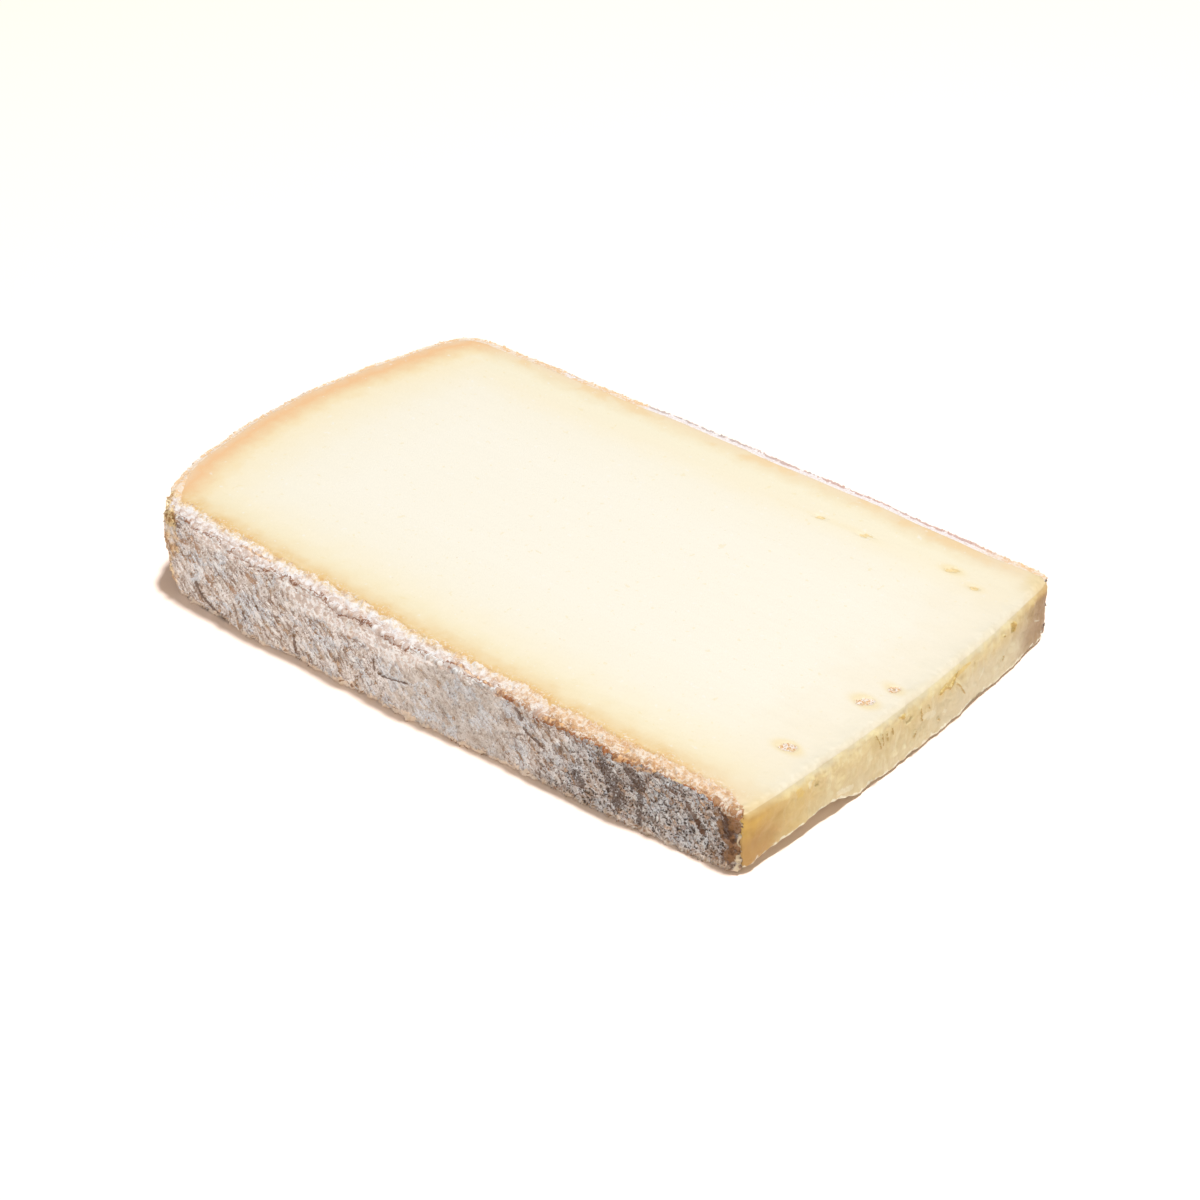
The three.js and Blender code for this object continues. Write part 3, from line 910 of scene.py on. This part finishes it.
# %% [markdown]
# ## The rind's finish
# The rind is matt. Its greys and beiges come from mould over a brown skin, so the finish
# is layered as the mould is: beige ground, cool frost, brown where it rubbed off, with
# painted shade in those hollows and round their rims, and dark dots in the pits. Towards
# the cut end it is dark and speckled, and on the broken slope it shows the cream and peach
# of the dry paste inside. Painting all this by hand would give detail of one size only;
# patterns of noise stay sharp from close by too.
# A surface in shade looks darker than its own colour. So each colour is written down as
# it looks, and divided by the light that falls on that side of the slice.
# %% Start a finish
GRAIN_HEIGHT = 0.0003  # metres


def paint(red, green, blue, light=(1.0, 1.0, 1.0)):
    """A colour as it looks (0 to 255), freed of the light that it is seen in."""
    shares = (red / 255, green / 255, blue / 255)
    linear = [c / 12.92 if c < 0.04 else ((c + 0.055) / 1.055) ** 2.4 for c in shares]
    return (*(min(value / lit, 0.97) for value, lit in zip(linear, light)), 1.0)


def mixed(share, first, second):
    """One colour turning into another."""
    sockets = {0: share, 6: first, 7: second}
    return share.node("ShaderNodeMix", {"data_type": "RGBA", "clamp_factor": True}, sockets, out=2)


def layered(ground, *coats):
    """Coats of colour over a ground, each given as its share and its colour."""
    for share, colour in coats:
        ground = mixed(share, ground, colour)
    return ground


def stops(colour_of, *rows):
    """A ramp's stops, from rows of distance (mm), red, green and blue."""
    return [(distance, colour_of(*colour)) for distance, *colour in rows]


def graded(distance, ramp):
    """A colour that changes with a distance (mm), through a ramp's stops."""
    longest = ramp[-1][0]
    shares = [(at / longest, colour) for at, colour in ramp]
    return distance.node("ShaderNodeValToRGB", {"stops": shares}, {0: distance / longest})


def start_finish(name, roughness):
    """A material, its shader, and a way to read the vertices' named attributes."""
    material = bpy.data.materials.new(name)
    material.use_nodes = True
    shader = material.node_tree.nodes["Principled BSDF"]
    shader.inputs["Roughness"].default_value = roughness
    shader.inputs["Specular IOR Level"].default_value = 0.3

    def named(attribute, vector=False):
        settings = {"attribute_name": attribute}
        return Wire(material.node_tree).node("ShaderNodeAttribute", settings, out=1 if vector else 2)

    return material, shader, named


def join(wire, shader, socket):
    wire.tree.links.new(wire.output, shader.inputs[socket])


def grain_bump(height, strength):
    """A bump for what is finer than the mesh."""
    sockets = {"Strength": strength, "Distance": GRAIN_HEIGHT, "Height": height}
    return height.node("ShaderNodeBump", sockets=sockets)


def dress(piece, material):
    piece.data.materials.clear()
    piece.data.materials.append(material)
    print(piece.name, "wears", material.name, "with", len(material.node_tree.nodes), "nodes")


# %% Lay the mould's ground
WALL_LIGHT = (0.93, 0.83, 0.77)  # how bright the lamps, the sky and the floor make it
EDGE_LIGHT = (1.0, 0.93, 0.88)  # and its upper edge
END_LIGHT = (1.12, 0.94, 0.82)  # and the cut end
SLOPE_LIGHT = (1.46, 1.42, 1.36)  # and the broken slope

rind_finish, shader, named = start_finish("mouldy_rind", 0.9)
place, belt, below = named("place", vector=True), named("belt", vector=True), named("below")
u, v = belt.axis("X"), belt.axis("Y")
calm, damp = zones(u, v, place)
crumbs = crumbly(u)
lively = 1.0 - 0.55 * calm


def mould(red, green, blue):
    return paint(red, green, blue, WALL_LIGHT)


ground = layered(
    mixed(clouds(place, 2.6, -0.07, 0.07, 4.0, 0.7), mould(200, 182, 170), mould(222, 208, 201)),
    (0.6 * calm, mould(185, 170, 158)),
    (0.7 * clouds(place, 5.0, 0.01, 0.05, 4.0, 0.7), mould(203, 204, 209)),  # cool frost
    (0.45 * falls(noise(place, 0.3, 3.0, 0.65), -0.06, 0.0), mould(168, 146, 132)),
)
dark_ground = layered(
    mixed(clouds(place, 2.2, -0.06, 0.06, 4.0, 0.7), mould(146, 128, 118), mould(194, 184, 180)),
    (0.6 * clouds(place, 4.2, 0.03, 0.07, 4.0, 0.7), mould(178, 178, 182)),
    (0.45 * clouds(place, 4.0, 0.02, 0.09, 4.0), mould(172, 142, 118)),
)
wall = mixed(damp, ground, dark_ground)
print("the wall's own colours are as it looks, divided by", WALL_LIGHT)

# %% Add frost, bare skin, strokes and dots
thick = crust(belt, place, calm)
bare_and_shaded_tone = mixed(clouds(place, 1.2, -0.06, 0.06, roughness=0.6), mould(152, 118, 92), mould(190, 154, 124))
bare_rim_and_shade = along_zero(thick, 0.006, 0.02) * clouds(place, 1.6, -0.03, 0.02, 2.0, 0.5)
brushed = squeezed(turned(belt, STROKE_TURN), (0.2, 1.0, 0.0))
flecks = clouds(place, 0.45, 0.08, 0.12)
freckles = clouds(place, 0.38, 0.05, 0.09, 2.0, 0.5)
blotched = ragged(named("patches"), place) * clouds(place, 0.5, -0.12, -0.05)
wall = layered(
    wall,
    (0.6 * rises(thick, 0.13, 0.17) * lively * (1.0 - 0.4 * damp), mould(234, 225, 220)),
    # brown skin where the crust broke away, darkened with painted shade in the hollow and round its rim
    (0.85 * falls(thick, -0.012, 0.01), bare_and_shaded_tone),
    (0.75 * bare_rim_and_shade, mould(112, 80, 58)),
    (0.32 * clouds(brushed, 0.9, 0.03, 0.09), mixed(damp, mould(164, 138, 120), mould(216, 208, 202))),
    (0.7 * flecks * lively, mixed(damp, mould(242, 235, 231), mould(226, 222, 220))),
    (0.4 * freckles * damp, mould(204, 196, 192)),
    (0.7 * wrinkles(belt, place) * lively, mould(122, 88, 66)),
    (0.6 * strokes(belt, place) * (1.0 - 0.7 * calm), mixed(damp, mould(122, 88, 66), mould(84, 62, 50))),
    (speckle(place, damp) * (0.5 + 0.42 * damp), mixed(damp, mould(118, 92, 74), mould(62, 48, 42))),
    (0.78 * blotched, mixed(damp, mould(164, 124, 94), mould(84, 64, 54))),
    (0.8 * ragged(named("cracks"), place, 0.5), mould(94, 64, 46)),
)
# painted shade: the front wall is made 9 per cent darker between about 2 and 40 mm along it
painted_shade_band = rises(u, 2.0, 14.0) * falls(u, 32.0, 40.0)
wall = wall.vector("SCALE", 1.0 - 0.09 * painted_shade_band)

# %% Finish the foot, the rim and the cut end's corner
at_foot = falls(v + 6.0 * noise(place, 2.0, 3.0, 0.6), 0.5, 1.5)
on_rim = falls(u + 12.0 * noise(place, 3.0, 3.0), -64.4, -62.0) * rises(u, -172.0, -165.0)
golden = mixed(clouds(place, 1.6, -0.14, 0.12, 4.0, 0.7), mould(178, 132, 90), mould(232, 200, 158))
golden = mixed(0.7 * wrinkles(belt, place), golden, mould(126, 84, 54))
showing = clouds(place, 3.4, -0.06, 0.02, roughness=0.6)
last = rises(u + 8.0 * noise(place, 2.0, 4.0, 0.7), 70.2, 71.2)
last = last * rises(v + 20.0 * noise(place, 3.0), 3.0, 5.0)
earthy = mixed(clouds(place, 1.5, -0.05, 0.05, roughness=0.5), mould(84, 55, 36), mould(136, 97, 64))
lip = u + 4.5 * noise(place, 2.4, 3.0)
wall = layered(
    wall,
    ((0.75 - 0.35 * damp) * at_foot, mould(230, 200, 174)),
    (0.85 * at_foot * outlines(v, place), mould(134, 90, 60)),
    ((0.3 + 0.6 * showing) * on_rim, golden),
    (0.85 * last, earthy),
    (0.8 * rises(lip, 75.3, 75.7), paint(176, 122, 76, END_LIGHT)),
    (0.8 * along_zero(lip - 75.0, 0.1, 0.3), paint(222, 196, 164, END_LIGHT)),
)

# %% Colour the broken slope
def crumb(red, green, blue):
    return paint(red, green, blue, SLOPE_LIGHT)


PALE_SLOPE = stops(
    crumb,
    (0.3, 218, 198, 186),
    (1.2, 232, 214, 204),
    (2.2, 246, 232, 221),
    (2.9, 247, 228, 201),
    (3.5, 245, 215, 168),
    (4.3, 243, 206, 148),
)
PEACH_SLOPE = stops(
    crumb,
    (0.3, 184, 140, 102),
    (1.2, 224, 186, 146),
    (2.2, 242, 206, 168),
    (3.2, 243, 210, 172),
    (4.0, 240, 204, 156),
    (4.8, 240, 202, 142),
)
golder = rises(u + 60.0 * noise(place, 5.0, 3.0), 12.0, 36.0)
upwards = 5.0 * noise(place, 1.6, 4.0, 0.7) - below
chunks, grains = noise(place, 1.3, 4.0, 0.72), noise(place, 0.45, 3.0, 0.65)
chunk_tone = mixed(golder, crumb(255, 252, 250), crumb(253, 238, 218))
# painted shade: the gaps between the crumbs are darker, over the peach of the dry paste
shaded_hollows = (0.3 + 0.3 * rises(upwards, 0.6, 1.6)) * falls(chunks, -0.085, -0.055)
orange = falls(grains, -0.1, -0.06) * clouds(place, 3.2, 0.0, 0.06, 2.0, 0.5)
slope = layered(
    mixed(golder, graded(upwards, PALE_SLOPE), graded(upwards, PEACH_SLOPE)),
    (0.8 * rises(chunks, 0.02, 0.05) * falls(upwards, 3.2, 4.6), chunk_tone),
    (shaded_hollows, mixed(golder, crumb(204, 166, 138), crumb(216, 164, 116))),
    (0.6 * rises(grains, 0.06, 0.1), crumb(255, 246, 236)),
    ((0.35 + 0.25 * golder) * orange, crumb(214, 152, 94)),
)

# %% Colour the slope round the rim and at the back
thin_line = rises(below + 3.0 * noise(place, 1.6, 3.0), -0.5, -0.25)
powdery = mixed(rises(grains, -0.1, -0.02), crumb(246, 224, 212), crumb(255, 248, 246))
reddish = falls(u, -262.0, -222.0)
chalky = mixed(0.6 * thin_line, powdery, mixed(reddish, crumb(176, 152, 142), crumb(192, 130, 104)))
whitened = falls(u + 90.0 * noise(place, 7.0, 3.0), -204.0, -196.0) * rises(u, -302.0, -288.0)
narrow_slope = layered(
    mixed(clouds(place, 1.8, -0.04, 0.06, 4.0, 0.7), crumb(247, 209, 164), crumb(250, 229, 204)),
    (rises(grains, 0.08, 0.12), crumb(255, 248, 242)),
    (whitened, chalky),
)
at_front = rises(crumbs, 0.5, 0.9)
slope = mixed(at_front, narrow_slope, slope)

# %% Join the wall and the slope
def upper(red, green, blue):
    return paint(red, green, blue, EDGE_LIGHT)


edge = skin_edge(below, place, crumbs)
frosted = frosting(u, below, place) * at_front
snow = mixed(clouds(place, 0.9, -0.05, 0.05, 4.0, 0.7), upper(212, 192, 180), upper(246, 240, 236))
flaking = along_zero(edge, 0.5, 2.4) * at_front * flake_lines(below, place)
broken = along_zero(edge - 0.05, 0.1, 0.26) * clouds(place, 2.0, -0.03, 0.0, roughness=0.6) * at_front
ochre = mixed(clouds(place, 0.6, -0.06, 0.02), paint(132, 88, 56), paint(214, 174, 128))
knob = ragged(named("knobs"), place, 1.2, 2.0) * rises(v, 8.0, 12.0)
knob_tone = mixed(clouds(place, 1.1, -0.05, 0.05, roughness=0.7), upper(170, 128, 78), upper(228, 202, 152))
knob_tone = mixed(0.8 * wrinkles(belt, place), knob_tone, upper(104, 62, 38))
# painted shade: the wall and its white frost are darkened in the last millimetre below the upper edge,
# against the stronger light on the rounded edge
skin = layered(
    wall.vector("SCALE", 1.0 - 0.3 * falls(below, 0.0, 0.9)),
    (0.85 * frosted, snow.vector("SCALE", 1.0 - 0.25 * falls(below, -0.1, 0.7))),
    (falls(edge, -0.12, 0.12), slope),
    (0.8 * flaking, paint(136, 92, 60)),
    (0.9 * broken, mixed(golder, paint(122, 78, 50), paint(150, 92, 46))),
    (0.65 * ragged(named("ochres"), place, 0.7, 1.8), ochre),
    (0.9 * knob, knob_tone),
)
join(skin, shader, "Base Color")
join(grain_bump(noise(place, 0.35, 4.0, 0.7), 0.8), shader, "Normal")
for rind in rinds.values():
    dress(rind, rind_finish)

# %% [markdown]
# ## The paste's finish
# Cheese dries from the rind inwards, so the paste is golden beside the rind and ivory in
# the middle. Three ramps hold the change with the distance from the rind, one for the
# front, one for the rim and one for the back, which dried least. Near the cut end the
# top turns a little cooler, and round each small hole it is tinted.
# %% Grade the upper cut
TOP_LIGHT = (1.62, 1.57, 1.5)

paste_finish, shader, named = start_finish("hard_paste", 0.5)
place, gap, on_end = named("place", vector=True), named("gap"), named("on_end")
from_end, side = named("from_end"), named("nearest_u")


def cut(red, green, blue):
    return paint(red, green, blue, TOP_LIGHT)


FRONT_DRYING = stops(
    cut,
    (3.6, 240, 198, 133),
    (5.0, 241, 208, 150),
    (6.6, 246, 222, 176),
    (8.2, 250, 233, 194),
    (10.5, 252, 239, 205),
)
RIM_DRYING = stops(
    cut,
    (0.5, 246, 212, 172),
    (2.4, 249, 202, 151),
    (4.6, 249, 217, 170),
    (6.6, 252, 231, 188),
    (9.0, 254, 240, 206),
)
BACK_DRYING = stops(
    cut,
    (1.6, 249, 226, 194),
    (3.2, 249, 228, 192),
    (4.8, 249, 231, 194),
    (6.4, 251, 237, 203),
    (8.6, 253, 243, 214),
)
MIDDLE = stops(cut, (13.5, 254, 243, 215), (20.0, 254, 246, 225), (32.0, 255, 248, 230))

wander = gap + 5.0 * noise(place, 4.0, 4.0, 0.6)
dryings = (RIM_DRYING, FRONT_DRYING, BACK_DRYING)
rim_top, front_top, back_top = (graded(wander, drying + MIDDLE) for drying in dryings)
top = mixed(rises(side, -76.0, -64.0), rim_top, front_top)
top = mixed(falls(side, -176.0, -164.0), top, back_top)
print("the paste is ivory from", MIDDLE[-1][0], "mm off the rind")

# %% Add tan, crumbs, specks and wear to the upper cut
tanned = clouds(place, 7.0, -0.02, 0.06, 2.0, 0.5) * falls(side, -176.0, -168.0) * falls(wander, 3.4, 6.4)
sprinkled = clouds(place, 0.5, 0.07, 0.11) * falls(wander, 4.4, 6.6) * rises(side, -74.0, -62.0)
crumbed = clouds(place, 0.6, 0.05, 0.08) * falls(wander, 4.6, 5.8) * rises(side, -74.0, -62.0)
specks = noise(place, 1.3, 2.0)
cooler = falls(from_end + 20.0 * noise(place, 6.0, 3.0), 3.0, 24.0)
worn = from_end + 8.0 * noise(place, 5.0, 3.0)
top = layered(
    top,
    (0.6 * falls(side, -296.0, -262.0) * falls(wander, 3.0, 7.0), cut(240, 211, 168)),
    (0.55 * tanned, cut(249, 214, 160)),
    (0.8 * sprinkled, cut(255, 244, 226)),
    (0.6 * crumbed, cut(236, 184, 120)),
    (0.35 * rises(specks, 0.17, 0.22), cut(248, 228, 176)),
    (0.4 * falls(specks, -0.24, -0.18), cut(255, 253, 246)),
    (0.5 * cooler, cut(249, 236, 208)),
    (0.8 * falls(worn, 1.0, 6.0), cut(245, 236, 213)),
    (0.8 * falls(worn, 0.0, 2.4), cut(243, 232, 204)),
    (0.7 * falls(worn, 1.0, 6.0) * falls(wander, 3.0, 11.0), cut(243, 217, 160)),
    (0.55 * rises(named("halo"), 0.02, 0.2), cut(249, 224, 164)),
)

# %% Colour the small holes
far_eye = rises(place.axis("Y"), 0.0, 6.0)  # those near the back are shallow and smooth
eye = rises(named("eye") - 0.25 * far_eye + 1.6 * noise(place, 1.1, 3.0, 0.65), 0.3, 0.5)
flaky = layered(
    mixed(clouds(place, 0.9, -0.05, 0.0), cut(240, 204, 160), cut(253, 240, 232)),
    (clouds(place, 0.5, 0.06, 0.1, 2.0, 0.5), cut(224, 162, 98)),
    (falls(noise(place, 0.5, 2.0), -0.14, -0.1), cut(196, 166, 132)),
    (far_eye, cut(244, 216, 158)),
)
top = mixed(0.85 * eye, top, flaky)
# painted light: the top is made 7 per cent brighter where it turns down into the worn edge, away from the
# main lamp
painted_light_on_turn = falls(from_end, 0.5, 1.5) * (1.0 - on_end)
top = top.vector("SCALE", 1.0 + 0.07 * painted_light_on_turn)

# %% [markdown]
# ## The cut end's finish
# The cut end is in half shade and looks deeper in colour than the top. It is palest at
# its worn upper edge and golden beside the front rind. Beside the back rind it is brown,
# which is partly painted shade, and a thin pale line at its foot is a painted highlight.
# A ramp over the depth and the distance from the rind hold these, and the marks lie on
# top.
# %% Colour the cut end
WORN_EDGE_LIGHT = (1.55, 1.47, 1.4)
BELOW_EDGE_LIGHT = (1.34, 1.22, 1.14)


def face(red, green, blue):
    return paint(red, green, blue, END_LIGHT)


END_DEPTHS = [
    (0.6, paint(236, 223, 188, WORN_EDGE_LIGHT)),
    (1.2, paint(232, 213, 170, BELOW_EDGE_LIGHT)),
    *stops(face, (2.2, 228, 204, 154), (4.0, 219, 192, 144), (7.0, 216, 192, 148), (10.5, 216, 194, 156)),
]
across = place.axis("Y")
depth = top_middle - (place.axis("Z") - top_slope * place.axis("X"))
lower = rises(depth, 0.6, 2.4)
smear = clouds(squeezed(place, (1.0, 1.0, 0.3)), 1.6, 0.02, 0.1, 4.0)
chalked = rises(across + 8.0 * noise(place, 5.0, 3.0), -2.0, 14.0) * rises(depth, 3.0, 7.0)
washed = falls(across + 12.0 * noise(place, 5.0, 3.0), -36.0, -25.0) * lower
side_reach = 14.0 + 4.0 * rises(across, -10.0, 10.0)
beside_rind = falls(gap + 9.0 * noise(place, 4.0, 3.0), 2.5, side_reach) * (0.62 + 0.33 * lower)
# golden beside the front rind; the brown beside the back rind is partly painted shade
side_tone_and_shade = layered(
    mixed(rises(across, -10.0, 10.0), face(184, 138, 80), face(162, 126, 92)),
    (falls(depth + 0.2 * across, -7.0, -2.0), face(210, 164, 84)),
    (falls(depth, 1.0, 3.0), face(192, 146, 80)),
)
# painted highlight: a thin pale line along the cut end's lowest half millimetre
foot_highlight = falls(named("from_foot") + 3.0 * noise(place, 1.4, 3.0), 0.1, 0.5)
end = layered(
    graded(depth + 4.0 * noise(place, 4.0, 4.0, 0.6), END_DEPTHS),
    (0.35 * smear * lower, face(232, 216, 180)),
    (0.3 * clouds(place, 3.0, 0.02, 0.09, 4.0) * lower, face(206, 178, 124)),
    (0.55 * chalked, face(219, 202, 174)),
    (0.55 * washed, face(212, 174, 102)),
    (beside_rind, side_tone_and_shade),
    (0.6 * ragged(named("ochres"), place), face(220, 182, 102)),
    (0.35 * ragged(named("frosts"), place), face(240, 230, 208)),
    (0.7 * ragged(named("cracks"), place, 0.5, 2.0), face(182, 140, 74)),
    (0.75 * foot_highlight, face(244, 234, 212)),
)
join(mixed(on_end, top, end), shader, "Base Color")
join(grain_bump(noise(place, 0.7, 4.0, 0.65), 0.35), shader, "Normal")
dress(paste, paste_finish)

# %% [markdown]
# ## Handing the slice over
# Every piece rides on the slice's one body and stands for the solid, whose own mesh is
# hidden.
# %% Tell the frame what stands for what
pieces = [*rinds.values(), paste]
for piece in pieces:
    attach(piece, "root")
    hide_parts(NODE)

floor_finish, shader, _ = start_finish("table", 0.8)
shader.inputs["Base Color"].default_value = (0.9, 0.77, 0.7, 1.0)
dress(floor, floor_finish)
